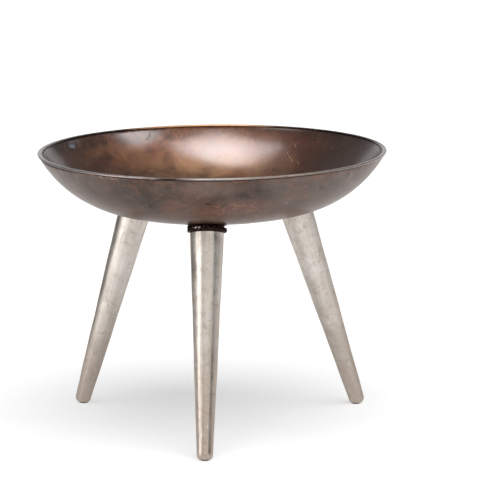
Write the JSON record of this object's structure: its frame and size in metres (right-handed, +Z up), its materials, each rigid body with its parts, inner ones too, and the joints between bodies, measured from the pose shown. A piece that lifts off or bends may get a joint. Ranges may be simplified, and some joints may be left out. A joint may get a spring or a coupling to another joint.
{
  "type": "fire pit",
  "caption": "Round shallow metal fire bowl with a flat lip on a tripod of splayed tapered legs, with a lift-out round log grate inside.",
  "frame": {"origin": "on the ground, under the bowl's centre", "axes": "+Z up along the bowl's axis; the front leg points along -Y and the other two legs are 120 degrees to either side, towards +X and -X"},
  "size_m": [0.59, 0.59, 0.47],
  "materials": {
    "bowl_iron": "waxed bronze-brown patina, satin",
    "weld_metal": "glossy dark weld, blackened",
    "leg_metal": "raw cast nickel-silver, hand finished, satin",
    "stud_steel": "zinc plated",
    "pad_rubber": "matt",
    "grate_steel": "heat-blackened mild steel, matt"
  },
  "bodies": {
    "fire_bowl": {"bowl": "bowl_iron", "boss_front": "weld_metal", "boss_left": "weld_metal", "boss_right": "weld_metal", "weld_bead_front": "weld_metal", "weld_bead_left": "weld_metal", "weld_bead_right": "weld_metal", "stud_front": "stud_steel", "stud_left": "stud_steel", "stud_right": "stud_steel", "leg_front": "leg_metal", "leg_left": "leg_metal", "leg_right": "leg_metal", "foot_pad_front": "pad_rubber", "foot_pad_left": "pad_rubber", "foot_pad_right": "pad_rubber"},
    "grate": {"grate_ring": "grate_steel", "grate_bars": "grate_steel", "grate_cross_bars": "grate_steel", "grate_feet": "grate_steel"}
  },
  "joints": [
    {"name": "grate_lift", "type": "slide", "parent": "fire_bowl", "child": "grate", "axis": [0, 0, 1], "range_m": [0, 0.2]}
  ]
}
